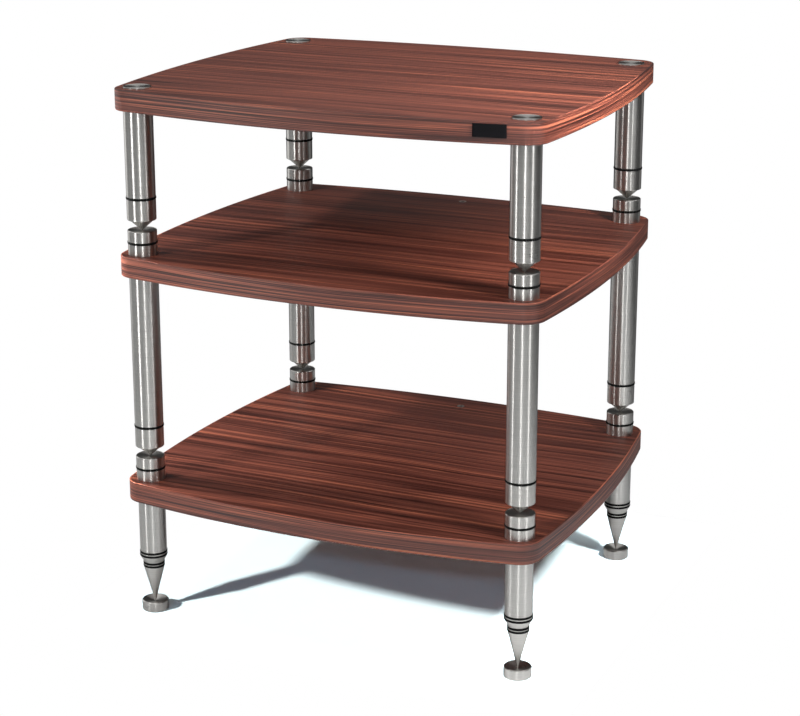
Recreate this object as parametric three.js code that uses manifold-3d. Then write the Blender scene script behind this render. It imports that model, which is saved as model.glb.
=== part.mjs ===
// Three-tier audio equipment rack: bowed wooden shelves on turned steel legs.
// Millimetres, +Z up, origin on the floor under the middle of the shelves.
// The front of the rack faces -Y.
// Each tier is one shelf with its own four legs. The legs end in cones that
// stand in dished seats on the shelf below, so the tiers only stack.

import * as THREE from 'three';
import { mergeVertices } from 'three/addons/utils/BufferGeometryUtils.js';
import Module from 'manifold-3d';

const wasm = await Module();
wasm.setup();

// Shelf boards
const shelfWidth = 670;
const shelfDepth = 600;
const shelfThickness = 30;
const edgeBandThickness = 2;
const cornerRadius = 33;
const frontBowRadius = 1620;
const rearBowRadius = 2600;
const sideBowRadius = 1950;
// The sides are widest a little in front of the middle.
const widestPlaceForward = 55;

// The large clear facet of each shelf's faces, between the legs
const clearFacetFrontInset = 20;
const clearFacetRearInset = 85;
const clearFacetLegGap = 42;

// Clear heights between the shelves
const lowerBayHeight = 314;
const upperBayHeight = 212;

// Leg places, from the shelf's outer size
const frontLegSideInset = 41;
const rearLegSideInset = 55;
const legEndInset = 60;

// Leg tubes
const tubeRadius = 21.2;
const tubeWall = 2;
const tubePlugThickness = 12;

// Studs that pull each tier together through its shelf
const studRadius = 5;
const studHoleClearance = 0.5;
const runningClearance = 0.3;
const boreEndClearance = 2;

// Turned spike ends of the tubes, with a rubber ring above the collar
const collarHeight = 31.2;
const spigotLength = 15;
const spigotTipChamfer = 1.5;
const spikeBaseRadius = 18.3;
const spikeGap = 15;
const spikeSink = 1.5;
const ringThickness = 2.6;
const ringProud = 0.5;
const ringSectionChamfer = 0.8;

// Dished seats on the shelves
const seatHeight = 36;
const seatRimWidth = 1.5;
const seatGrooveHeight = 18;
const seatGrooveWidth = 2.6;
const seatGrooveDepth = 1.2;

// Caps on the top shelf
const capRadius = 20;
const capHeight = 2;
const capChamfer = 0.8;

// Bottom legs, floor spikes and foot discs
const bottomLegRadius = 20;
const bottomLegLength = 81.7;
const legScrewRadius = 8;
const legScrewLength = 38;
const legScrewTipChamfer = 2;
const floorSpikeHeadHeight = 11.9;
const floorSpikeChamferHeight = 8.1;
const floorSpikeNeckRadius = 15.4;
const floorSpikeNeckHeight = 10.3;
const floorSpikeConeHeight = 57;
const floorSpikeSink = 4;
const footRadius = 20;
const footHeight = 16;
const footRimWidth = 1.4;
const footEdgeChamfer = 0.8;
const footDishMiddleRadiusShare = 0.48;
const footDishMiddleDepthShare = 0.56;

// Blank badge plate on the top shelf's front edge
const badgeWidth = 46;
const badgeHeight = 18;
const badgeThickness = 1.5;
const badgeSideInset = 78;
const badgeLift = 3;

// Threaded inserts near the rear edge of the two lower shelves
const insertFlangeRadius = 6;
const insertFlangeHeight = 0.8;
const insertBodyRadius = 4.5;
const insertLength = 14;
const insertBoreRadius = 3;
const insertBoreDepth = 11;
const insertRearInset = 40;

// Faces of the turned and bowed surfaces
const turnedSides = 20;
const insertSides = 12;
const studHoleSides = 12;
const bowSteps = 10;
const cornerSteps = 5;
const badgeSteps = 4;

const frontLegX = shelfWidth / 2 - frontLegSideInset;
const rearLegX = shelfWidth / 2 - rearLegSideInset;
const legY = shelfDepth / 2 - legEndInset;
const legs = [
  { name: 'front_left', x: -frontLegX, y: -legY },
  { name: 'front_right', x: frontLegX, y: -legY },
  { name: 'rear_left', x: -rearLegX, y: legY },
  { name: 'rear_right', x: rearLegX, y: legY },
];

// Materials, one function for each finish

function shelfVeneer() {
  return new THREE.MeshStandardMaterial({ color: 0x6f3a2e, roughness: 0.42, metalness: 0 });
}

function edgeVeneer() {
  return new THREE.MeshStandardMaterial({ color: 0x7a4030, roughness: 0.45, metalness: 0 });
}

function satinSteel() {
  return new THREE.MeshStandardMaterial({ color: 0xb9b7b1, roughness: 0.28, metalness: 1 });
}

function blackRubber() {
  return new THREE.MeshStandardMaterial({ color: 0x141414, roughness: 0.7, metalness: 0 });
}

function blackPlate() {
  return new THREE.MeshStandardMaterial({ color: 0x0c0c0d, roughness: 0.4, metalness: 0 });
}

// Shared helpers

function named(name, geometry, material) {
  const mesh = new THREE.Mesh(geometry, material);
  mesh.name = name;
  return mesh;
}

// Turns a profile of [radius, height] points, written from the bottom up, about the Z axis.
function turned(profile, sides) {
  const points = profile.map(([radius, height]) => new THREE.Vector2(radius, height));
  const geometry = new THREE.LatheGeometry(points, sides);
  geometry.rotateX(Math.PI / 2);
  return geometry;
}

function toSolid(geometry) {
  const bare = geometry.clone();
  bare.deleteAttribute('normal');
  bare.deleteAttribute('uv');
  const merged = mergeVertices(bare);
  const index = merged.index.array;
  const triangles = [];
  for (let i = 0; i < index.length; i += 3) {
    const [a, b, c] = [index[i], index[i + 1], index[i + 2]];
    if (a !== b && b !== c && c !== a) {
      triangles.push(a, b, c);
    }
  }
  return new wasm.Manifold(new wasm.Mesh({
    numProp: 3,
    vertProperties: new Float32Array(merged.attributes.position.array),
    triVerts: new Uint32Array(triangles),
  }));
}

function toGeometry(solid) {
  const mesh = solid.getMesh();
  const geometry = new THREE.BufferGeometry();
  geometry.setAttribute('position', new THREE.BufferAttribute(new Float32Array(mesh.vertProperties), 3));
  geometry.setIndex(new THREE.BufferAttribute(new Uint32Array(mesh.triVerts), 1));
  geometry.computeVertexNormals();
  return geometry;
}

// Shelf outline: four shallow arcs joined by round corners

const frontBow = { x: 0, y: -shelfDepth / 2 + frontBowRadius, radius: frontBowRadius };
const rearBow = { x: 0, y: shelfDepth / 2 - rearBowRadius, radius: rearBowRadius };
const rightBow = { x: shelfWidth / 2 - sideBowRadius, y: -widestPlaceForward, radius: sideBowRadius };

// The centre of the round corner that touches two bows from inside.
function cornerCentre(bow, side) {
  const reachA = bow.radius - cornerRadius;
  const reachB = side.radius - cornerRadius;
  const across = new THREE.Vector2(side.x - bow.x, side.y - bow.y);
  const distance = across.length();
  const along = (distance * distance + reachA * reachA - reachB * reachB) / (2 * distance);
  const off = Math.sqrt(reachA * reachA - along * along);
  const unit = across.divideScalar(distance);
  const candidates = [1, -1].map((sign) => new THREE.Vector2(
    bow.x + unit.x * along - unit.y * off * sign,
    bow.y + unit.y * along + unit.x * off * sign,
  ));
  return candidates[0].x > candidates[1].x ? candidates[0] : candidates[1];
}

function angleFrom(centre, point) {
  return Math.atan2(point.y - centre.y, point.x - centre.x);
}

function arcPoints(centre, radius, from, to, steps) {
  const points = [];
  for (let i = 0; i <= steps; i += 1) {
    const angle = from + (to - from) * i / steps;
    points.push(new THREE.Vector2(centre.x + radius * Math.cos(angle), centre.y + radius * Math.sin(angle)));
  }
  return points;
}

// Right half from the front middle to the rear middle, then mirrored to the left.
function shelfOutline(inset) {
  const frontCorner = cornerCentre(frontBow, rightBow);
  const rearCorner = cornerCentre(rearBow, rightBow);
  const down = -Math.PI / 2;
  const up = Math.PI / 2;
  const frontEnd = angleFrom(frontBow, frontCorner);
  const sideStart = angleFrom(rightBow, frontCorner);
  const sideEnd = angleFrom(rightBow, rearCorner);
  const rearStart = angleFrom(rearBow, rearCorner);
  const half = [
    ...arcPoints(frontBow, frontBow.radius - inset, down, frontEnd, bowSteps / 2),
    ...arcPoints(frontCorner, cornerRadius - inset, frontEnd, sideStart, cornerSteps).slice(1),
    ...arcPoints(rightBow, rightBow.radius - inset, sideStart, sideEnd, bowSteps).slice(1),
    ...arcPoints(rearCorner, cornerRadius - inset, sideEnd, rearStart, cornerSteps).slice(1),
    ...arcPoints(rearBow, rearBow.radius - inset, rearStart, up, bowSteps / 2).slice(1),
  ];
  const mirrored = half.slice(1, -1).reverse().map((point) => new THREE.Vector2(-point.x, point.y));
  return [...half, ...mirrored];
}

function roundHole(x, y, radius, sides) {
  const hole = new THREE.Path();
  hole.setFromPoints(arcPoints({ x, y }, radius, 0, -2 * Math.PI, sides).slice(0, -1));
  return hole;
}

// Shelf parts

function board(shape) {
  return new THREE.ExtrudeGeometry(shape, { depth: shelfThickness, bevelEnabled: false });
}

// One triangle between the legs. The shelf's flat faces are drawn as facets, and
// this one is drawn by itself, so that no cap, seat or insert stands on it.
function clearFacet() {
  const rearX = rearLegX - clearFacetLegGap;
  const rearY = shelfDepth / 2 - clearFacetRearInset;
  const frontY = clearFacetFrontInset - shelfDepth / 2;
  return [new THREE.Vector2(0, frontY), new THREE.Vector2(rearX, rearY), new THREE.Vector2(-rearX, rearY)];
}

function shelfCore() {
  const around = new THREE.Shape(shelfOutline(edgeBandThickness));
  around.holes.push(new THREE.Path(clearFacet().reverse()));
  for (const leg of legs) {
    around.holes.push(roundHole(leg.x, leg.y, studRadius + studHoleClearance, studHoleSides));
  }
  return toSolid(board(around)).add(toSolid(board(new THREE.Shape(clearFacet()))));
}

function edgeBand() {
  const shape = new THREE.Shape(shelfOutline(0));
  shape.holes.push(new THREE.Path(shelfOutline(edgeBandThickness).reverse()));
  return board(shape);
}

const insertY = shelfDepth / 2 - insertRearInset;

function insertPocket() {
  const floorHeight = shelfThickness - insertLength - runningClearance;
  const radius = insertBodyRadius + runningClearance;
  const geometry = turned([
    [0, floorHeight],
    [radius, floorHeight],
    [radius, shelfThickness + insertFlangeHeight],
    [0, shelfThickness + insertFlangeHeight],
  ], insertSides);
  geometry.translate(0, insertY, 0);
  return geometry;
}

function shelfCoreWithPocket() {
  return shelfCore().subtract(toSolid(insertPocket()));
}

// A flanged bush let into the shelf, open at the top for a screw.
function threadedInsert() {
  return turned([
    [0, -insertLength],
    [insertBodyRadius, -insertLength],
    [insertBodyRadius, 0],
    [insertFlangeRadius, 0],
    [insertFlangeRadius, insertFlangeHeight],
    [insertBoreRadius, insertFlangeHeight],
    [insertBoreRadius, insertFlangeHeight - insertBoreDepth],
    [0, insertFlangeHeight - insertBoreDepth],
  ], insertSides);
}

// A blank plate bent to the front bow.
function badgePlate() {
  const inner = frontBowRadius + runningClearance;
  const outer = inner + badgeThickness;
  const middle = shelfWidth / 2 - badgeSideInset;
  const spread = badgeWidth / 2 / frontBowRadius;
  const centre = -Math.PI / 2 + Math.asin(middle / frontBowRadius);
  const outside = arcPoints(frontBow, outer, centre - spread, centre + spread, badgeSteps);
  const inside = arcPoints(frontBow, inner, centre + spread, centre - spread, badgeSteps);
  const shape = new THREE.Shape([...outside, ...inside]);
  const geometry = new THREE.ExtrudeGeometry(shape, { depth: badgeHeight, bevelEnabled: false });
  geometry.translate(0, 0, (shelfThickness - badgeHeight) / 2 + badgeLift);
  return geometry;
}

// Turned parts. Each is drawn with its own resting plane at height zero.

const studLength = shelfThickness + tubePlugThickness;

// Rests on the shelf's top face; its stud runs down through the shelf.
function cap() {
  return turned([
    [0, -studLength],
    [studRadius, -studLength],
    [studRadius, 0],
    [capRadius, 0],
    [capRadius, capHeight - capChamfer],
    [capRadius - capChamfer, capHeight],
    [0, capHeight],
  ], turnedSides);
}

// A dished seat with a groove for its rubber ring; it rests on the shelf's top face.
function seat() {
  const grooveBase = seatGrooveHeight - seatGrooveWidth / 2;
  const grooveTop = seatGrooveHeight + seatGrooveWidth / 2;
  const dishDepth = spikeSink + runningClearance;
  return turned([
    [0, -studLength],
    [studRadius, -studLength],
    [studRadius, 0],
    [tubeRadius, 0],
    [tubeRadius, grooveBase],
    [tubeRadius - seatGrooveDepth, grooveBase],
    [tubeRadius - seatGrooveDepth, grooveTop],
    [tubeRadius, grooveTop],
    [tubeRadius, seatHeight],
    [tubeRadius - seatRimWidth, seatHeight],
    [0, seatHeight - dishDepth],
  ], turnedSides);
}

// A tube open at its lower end, with a bored plug in its upper end.
function tube(length) {
  const inner = tubeRadius - tubeWall;
  const bore = studRadius + runningClearance;
  return turned([
    [tubeRadius, 0],
    [tubeRadius, length],
    [bore, length],
    [bore, length - tubePlugThickness],
    [inner, length - tubePlugThickness],
    [inner, 0],
    [tubeRadius, 0],
  ], turnedSides);
}

// The collar's lower face is at height zero: the cone points down, the spigot up into the tube.
function spike() {
  const spigotRadius = tubeRadius - tubeWall - runningClearance;
  const spigotTop = collarHeight + ringThickness + spigotLength;
  return turned([
    [0, -(spikeGap + spikeSink)],
    [spikeBaseRadius, 0],
    [tubeRadius, 0],
    [tubeRadius, collarHeight],
    [spigotRadius, collarHeight],
    [spigotRadius, spigotTop - spigotTipChamfer],
    [spigotRadius - spigotTipChamfer, spigotTop],
    [0, spigotTop],
  ], turnedSides);
}

// A rubber ring that sits on the collar, round the spigot.
function spikeRing() {
  const inner = tubeRadius - tubeWall;
  const outer = tubeRadius + ringProud;
  return turned([
    [inner, 0],
    [outer - ringSectionChamfer, 0],
    [outer, ringSectionChamfer],
    [outer, ringThickness - ringSectionChamfer],
    [outer - ringSectionChamfer, ringThickness],
    [inner, ringThickness],
    [inner, 0],
  ], turnedSides);
}

// A solid bar leg, bored from above for the seat's stud and from below for the floor spike.
function bottomLeg() {
  const screwBore = legScrewRadius + runningClearance;
  const screwBoreTop = legScrewLength + boreEndClearance;
  const studBore = studRadius + runningClearance;
  const studBoreBase = bottomLegLength - tubePlugThickness - boreEndClearance;
  return turned([
    [0, screwBoreTop],
    [screwBore, screwBoreTop],
    [screwBore, 0],
    [bottomLegRadius, 0],
    [bottomLegRadius, bottomLegLength],
    [studBore, bottomLegLength],
    [studBore, studBoreBase],
    [0, studBoreBase],
  ], turnedSides);
}

const floorSpikeLength = floorSpikeConeHeight + floorSpikeNeckHeight
  + floorSpikeChamferHeight + floorSpikeHeadHeight;

// The tip is at height zero.
function floorSpike() {
  const neckTop = floorSpikeConeHeight + floorSpikeNeckHeight;
  const headBase = neckTop + floorSpikeChamferHeight;
  const screwTop = floorSpikeLength + legScrewLength;
  return turned([
    [0, 0],
    [floorSpikeNeckRadius, floorSpikeConeHeight],
    [floorSpikeNeckRadius, neckTop],
    [bottomLegRadius, headBase],
    [bottomLegRadius, floorSpikeLength],
    [legScrewRadius, floorSpikeLength],
    [legScrewRadius, screwTop - legScrewTipChamfer],
    [legScrewRadius - legScrewTipChamfer, screwTop],
    [0, screwTop],
  ], turnedSides);
}

// A loose disc with a dished top that the floor spike stands in.
function footDisc() {
  const dishRadius = footRadius - footRimWidth;
  const dishDepth = floorSpikeSink + runningClearance;
  return turned([
    [0, 0],
    [footRadius - footEdgeChamfer, 0],
    [footRadius, footEdgeChamfer],
    [footRadius, footHeight],
    [dishRadius, footHeight],
    [dishRadius * footDishMiddleRadiusShare, footHeight - dishDepth * footDishMiddleDepthShare],
    [0, footHeight - dishDepth],
  ], turnedSides);
}

// Assembly

function placed(object, x, y, z) {
  object.position.set(x, y, z);
  return object;
}

// The tube, ring and spike end that hang under one shelf, measured down from the shelf's lower face.
function tubeLeg(tier, leg, bayHeight) {
  const group = new THREE.Group();
  const tubeLength = bayHeight - seatHeight - spikeGap - collarHeight - ringThickness;
  const tubeBase = -tubeLength;
  const ringBase = tubeBase - ringThickness;
  const collarBase = ringBase - collarHeight;
  group.add(placed(named(`${tier}_tube_${leg.name}`, tube(tubeLength), satinSteel()), 0, 0, tubeBase));
  group.add(placed(named(`${tier}_spike_ring_${leg.name}`, spikeRing(), blackRubber()), 0, 0, ringBase));
  group.add(placed(named(`${tier}_spike_${leg.name}`, spike(), satinSteel()), 0, 0, collarBase));
  return placed(group, leg.x, leg.y, 0);
}

function topTier() {
  const tier = new THREE.Group();
  tier.add(named('top_shelf', toGeometry(shelfCore()), shelfVeneer()));
  tier.add(named('top_shelf_edge_band', edgeBand(), edgeVeneer()));
  tier.add(named('badge_plate', badgePlate(), blackPlate()));
  for (const leg of legs) {
    tier.add(placed(named(`cap_${leg.name}`, cap(), satinSteel()), leg.x, leg.y, shelfThickness));
    tier.add(tubeLeg('top', leg, upperBayHeight));
  }
  return tier;
}

function middleTier() {
  const tier = new THREE.Group();
  tier.add(named('middle_shelf', toGeometry(shelfCoreWithPocket()), shelfVeneer()));
  tier.add(named('middle_shelf_edge_band', edgeBand(), edgeVeneer()));
  tier.add(placed(named('middle_shelf_insert', threadedInsert(), satinSteel()), 0, insertY, shelfThickness));
  for (const leg of legs) {
    tier.add(placed(named(`middle_seat_${leg.name}`, seat(), satinSteel()), leg.x, leg.y, shelfThickness));
    tier.add(tubeLeg('middle', leg, lowerBayHeight));
  }
  return tier;
}

function bottomTier() {
  const tier = new THREE.Group();
  tier.add(named('bottom_shelf', toGeometry(shelfCoreWithPocket()), shelfVeneer()));
  tier.add(named('bottom_shelf_edge_band', edgeBand(), edgeVeneer()));
  tier.add(placed(named('bottom_shelf_insert', threadedInsert(), satinSteel()), 0, insertY, shelfThickness));
  for (const leg of legs) {
    tier.add(placed(named(`bottom_seat_${leg.name}`, seat(), satinSteel()), leg.x, leg.y, shelfThickness));
    const legMesh = named(`bottom_leg_${leg.name}`, bottomLeg(), satinSteel());
    tier.add(placed(legMesh, leg.x, leg.y, -bottomLegLength));
    const spikeMesh = named(`floor_spike_${leg.name}`, floorSpike(), satinSteel());
    tier.add(placed(spikeMesh, leg.x, leg.y, -bottomLegLength - floorSpikeLength));
    const footBase = -bottomLegLength - floorSpikeLength + floorSpikeSink - footHeight;
    tier.add(placed(named(`foot_disc_${leg.name}`, footDisc(), satinSteel()), leg.x, leg.y, footBase));
  }
  return tier;
}

const bottomShelfBase = footHeight - floorSpikeSink + floorSpikeLength + bottomLegLength;
const middleShelfBase = bottomShelfBase + shelfThickness + lowerBayHeight;
const topShelfBase = middleShelfBase + shelfThickness + upperBayHeight;

const rack = new THREE.Group();
rack.add(placed(bottomTier(), 0, 0, bottomShelfBase));
rack.add(placed(middleTier(), 0, 0, middleShelfBase));
rack.add(placed(topTier(), 0, 0, topShelfBase));

export default rack;
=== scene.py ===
# %% [markdown]
# # An audio equipment rack
# Three bowed wooden shelves stand on turned steel legs. Each tier is a shelf with four
# legs of its own, and the legs end in spikes that stand in dished seats on the tier
# below. The CAD frame holds every piece at its real size. This script gives each of
# them its fine shape and its finish, and sets up the light and the camera.

# %% Load the frame
import math

import bmesh
import bpy
from mathutils import Matrix, Vector


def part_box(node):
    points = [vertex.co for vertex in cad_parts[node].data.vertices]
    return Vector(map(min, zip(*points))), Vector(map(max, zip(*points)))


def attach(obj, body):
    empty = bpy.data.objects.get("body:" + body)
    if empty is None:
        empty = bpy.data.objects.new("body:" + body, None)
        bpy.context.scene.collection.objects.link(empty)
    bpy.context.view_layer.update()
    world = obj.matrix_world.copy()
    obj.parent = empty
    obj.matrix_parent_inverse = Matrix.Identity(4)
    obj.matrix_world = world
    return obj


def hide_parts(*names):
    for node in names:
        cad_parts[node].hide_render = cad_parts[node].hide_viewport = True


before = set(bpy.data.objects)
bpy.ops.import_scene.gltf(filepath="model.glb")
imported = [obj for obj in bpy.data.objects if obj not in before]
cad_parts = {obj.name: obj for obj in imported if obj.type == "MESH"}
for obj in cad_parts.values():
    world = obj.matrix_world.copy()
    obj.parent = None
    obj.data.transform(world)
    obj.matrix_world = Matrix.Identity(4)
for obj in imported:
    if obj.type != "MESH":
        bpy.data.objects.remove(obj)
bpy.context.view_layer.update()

# %% [markdown]
# ## The camera
# The rack is seen from the front right and a little from above, through a long lens.
# The place, the turn and the focal length come from a fit to the legs and shelf
# corners, so the picture and the photograph can be laid over each other. The legs in
# the photograph stand nearly upright, as a shift lens draws them. A shift would follow
# the camera into every other view and move the rack out of the middle, so none is used.
# The price is that the legs lean a little: the top shelf is drawn nine pixels further
# out at its left corner and seven at its right one, in a picture 800 pixels wide.

# %% Camera
SENSOR_WIDTH, LENS = 36, 96.318
CAMERA_PLACE = (1.26336, -2.83597, 1.31285)
TURN_TO_LEFT, LOOK_DOWN = 23.912, 16.951
camera_data = bpy.data.cameras.new("camera")
camera_data.sensor_width = SENSOR_WIDTH
camera_data.lens = LENS
camera = bpy.data.objects.new("camera", camera_data)
camera.location = CAMERA_PLACE
camera_turn = Matrix.Rotation(math.radians(TURN_TO_LEFT), 4, "Z")
camera_tilt = Matrix.Rotation(math.radians(90 - LOOK_DOWN), 4, "X")
camera.rotation_euler = (camera_turn @ camera_tilt).to_euler()
bpy.context.scene.collection.objects.link(camera)
bpy.context.scene.camera = camera
print("camera", [round(v, 3) for v in camera.location])

# %% [markdown]
# ## The legs' places
# Every turned piece of a leg stands on that leg's axis. The axes and the heights are
# read from the CAD nodes, so that each new piece lands exactly where its node stands.

# %% Leg axes
LEGS = ("front_left", "front_right", "rear_left", "rear_right")


def axis_of(node):
    low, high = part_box(node)
    return (low.x + high.x) / 2, (low.y + high.y) / 2


axes = {leg: axis_of("cap_" + leg) for leg in LEGS}
for leg, (x, y) in axes.items():
    print(leg, round(x, 4), round(y, 4))

# %% [markdown]
# ## Finishing a mesh
# A bmesh becomes an object here. Its place is in its mesh, and the object itself stays
# at the origin. Faces are smooth, and an edge is kept crisp where the faces meet at
# more than a small angle, or where a flat face meets a rounded one. Without that, a
# long tube would be shaded as if it were swollen at its ends.

# %% From bmesh to object
MM = 0.001
WALL_BELOW, FLAT_ABOVE = 0.01, 0.99
CRISP_ANGLE = 16


def is_plain(face):
    return abs(face.normal.z) < WALL_BELOW or abs(face.normal.z) > FLAT_ABOVE


def finish_mesh(name, bm, body, material, crisp=CRISP_ANGLE):
    bm.normal_update()
    for face in bm.faces:
        face.smooth = True
    for edge in bm.edges:
        if len(edge.link_faces) == 2:
            one, two = edge.link_faces
            bent = edge.calc_face_angle(0) > math.radians(crisp)
            edge.smooth = not (bent or is_plain(one) != is_plain(two))
    mesh = bpy.data.meshes.new(name)
    bm.to_mesh(mesh)
    bm.free()
    piece = bpy.data.objects.new(name, mesh)
    bpy.context.scene.collection.objects.link(piece)
    mesh.materials.append(material)
    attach(piece, body)
    return piece


# %% [markdown]
# ## Turning on a lathe
# A lathe piece is one profile carried round an axis. The profile is a short chain of
# points from the drawing, in millimetres above the piece's own base. Spin makes the
# skin, the doubled points on the axis are merged, and a small bevel breaks each rim as
# a turner does with a file. The map that is laid on it runs round the axis and then
# along the profile, because the marks of the tool follow the turn. All this is done at
# the origin, and then the mesh is moved to its leg.

# %% Lathe helpers
MERGE_DISTANCE, TINY = 1e-6, 1e-7
RIM_ANGLE = 25
LATHE_STEPS = 96


def lay_turned_map(bm):
    layer = bm.loops.layers.uv.new("turned")
    for face in bm.faces:
        middle = face.calc_center_median()
        around = math.atan2(middle.y, middle.x)
        for loop in face.loops:
            at = loop.vert.co
            radius = math.hypot(at.x, at.y)
            turn = math.atan2(at.y, at.x) - around if radius > TINY else 0
            turn = (turn + math.pi) % math.tau - math.pi
            loop[layer].uv = ((around + turn) / math.tau, at.z - radius)


def is_rim(edge):
    level = abs(edge.verts[0].co.z - edge.verts[1].co.z) < TINY
    return level and len(edge.link_faces) == 2 and edge.calc_face_angle(0) > math.radians(RIM_ANGLE)


def turned(name, profile, leg, base, body, material, soften=0.3,
           steps=LATHE_STEPS, crisp=CRISP_ANGLE):
    """Turns a profile about a leg's axis, or about a place given as x and y. The radii and heights are in
    millimetres, and the base and the place are in metres."""
    bm = bmesh.new()
    closed = profile[0] == profile[-1]
    points = profile[:-1] if closed else profile
    chain = [bm.verts.new((radius * MM, 0, base + height * MM)) for radius, height in points]
    lines = [bm.edges.new(pair) for pair in zip(chain, chain[1:])]
    if closed:
        lines.append(bm.edges.new((chain[-1], chain[0])))
    bmesh.ops.spin(bm, geom=chain + lines, cent=(0, 0, 0), axis=(0, 0, 1),
                   angle=math.tau, steps=steps, use_merge=True)
    bmesh.ops.remove_doubles(bm, verts=bm.verts, dist=MERGE_DISTANCE)
    bmesh.ops.recalc_face_normals(bm, faces=bm.faces)
    if soften:
        rims = [edge for edge in bm.edges if is_rim(edge)]
        bmesh.ops.bevel(bm, geom=rims, offset=soften * MM, segments=2, affect="EDGES",
                        profile=0.5, material=-1, clamp_overlap=True)
    lay_turned_map(bm)
    x, y = axes[leg] if leg in axes else leg
    bmesh.ops.translate(bm, verts=bm.verts, vec=(x, y, 0))
    return finish_mesh(name, bm, body, material, crisp)


# %% [markdown]
# ## A start for every finish
# Each finish is a Principled shader with procedural detail on it. These helpers add
# the nodes that nearly all of them need: a place to read the pattern from, a stretched
# noise, and a ramp that turns the noise into colours.

# %% Material helpers
# a noise seldom leaves this range
NOISE_LOW, NOISE_HIGH = 0.3, 0.7


def new_finish(name):
    material = bpy.data.materials.new(name)
    material.use_nodes = True
    tree = material.node_tree
    return material, tree, tree.nodes["Principled BSDF"]


def read_place(tree, source, stretch=(1, 1, 1)):
    where = tree.nodes.new("ShaderNodeTexCoord")
    mapping = tree.nodes.new("ShaderNodeMapping")
    mapping.inputs["Scale"].default_value = stretch
    tree.links.new(where.outputs[source], mapping.inputs["Vector"])
    return mapping.outputs["Vector"]


def noise(tree, vector, scale=1.0, detail=2.0, roughness=0.5):
    node = tree.nodes.new("ShaderNodeTexNoise")
    node.inputs["Scale"].default_value = scale
    node.inputs["Detail"].default_value = detail
    node.inputs["Roughness"].default_value = roughness
    tree.links.new(vector, node.inputs["Vector"])
    return node.outputs["Fac"]


def calculate(tree, operation, one, two):
    node = tree.nodes.new("ShaderNodeMath")
    node.operation = operation
    for socket, value in zip(node.inputs, (one, two)):
        if isinstance(value, (int, float)):
            socket.default_value = value
        else:
            tree.links.new(value, socket)
    return node.outputs["Value"]


def ramp(tree, value, stops):
    node = tree.nodes.new("ShaderNodeValToRGB")
    elements = node.color_ramp.elements
    while len(elements) < len(stops):
        elements.new(0.5)
    for element, (position, colour) in zip(elements, stops):
        element.position = position
        element.color = (*colour, 1) if isinstance(colour, tuple) else (colour, colour, colour, 1)
    tree.links.new(value, node.inputs["Fac"])
    return node.outputs["Color"]


def bump(tree, shader, height, strength, distance):
    node = tree.nodes.new("ShaderNodeBump")
    node.inputs["Strength"].default_value = strength
    node.inputs["Distance"].default_value = distance
    tree.links.new(height, node.inputs["Height"])
    tree.links.new(node.outputs["Normal"], shader.inputs["Normal"])


def srgb(red, green, blue):
    """A colour as a picture editor shows it, 0 to 255, as the linear values that a shader takes."""
    shares = [value / 255 for value in (red, green, blue)]
    return tuple(s / 12.92 if s <= 0.04045 else ((s + 0.055) / 1.055) ** 2.4 for s in shares)


# %% [markdown]
# ## Rosewood veneer
# The boards are faced with a straight-grained, dark red veneer under a satin lacquer.
# Its figure is made of streaks of four widths, all running the same way, from broad
# bands down to fine pores. Each is one noise stretched a long way along the grain.
# Growth lines go on top: thin dark and thin pale lines that follow a level of a noise,
# as a line on a map follows a height. A slow wander is added across the grain first, so
# that nothing is ruled. One recipe serves the faces, where the grain runs from left to
# right, and the edge bands, where it runs along the edge and is finer.

# %% Veneer recipe
WANDER_STRETCH, WANDER = (2.4, 3.0, 3.0), 0.026
# of each streak on a face its length and width in metres and the detail of its noise
STREAKS = ((1.3, 0.040, 1.0), (1.0, 0.0105, 1.0), (0.5, 0.0040, 1.0), (0.12, 0.0013, 2.0))
STREAK_WEIGHTS = (0.28, 0.52, 0.58, 0.28)
RING_STREAK = (1.6, 0.021, 0.0)
# of each growth line the level it follows, its width and its strength, below zero if dark
GROWTH_LINES = ((0.44, 0.020, -0.13), (0.56, 0.014, -0.10), (0.50, 0.012, 0.10), (0.62, 0.016, 0.12))
PORE_ROUGHNESS = ((NOISE_LOW, 0.56), (NOISE_HIGH, 0.46))
PORE_BUMP, PORE_DEPTH = 0.25, 0.00015


def growth_line(tree, value, level, width, strength):
    """A ridge of that strength where the value passes the level, and nothing elsewhere."""
    away = calculate(tree, "ABSOLUTE", calculate(tree, "SUBTRACT", value, level), 0)
    near = calculate(tree, "MAXIMUM", calculate(tree, "SUBTRACT", width, away), 0)
    return calculate(tree, "MULTIPLY", near, strength / width)


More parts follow.
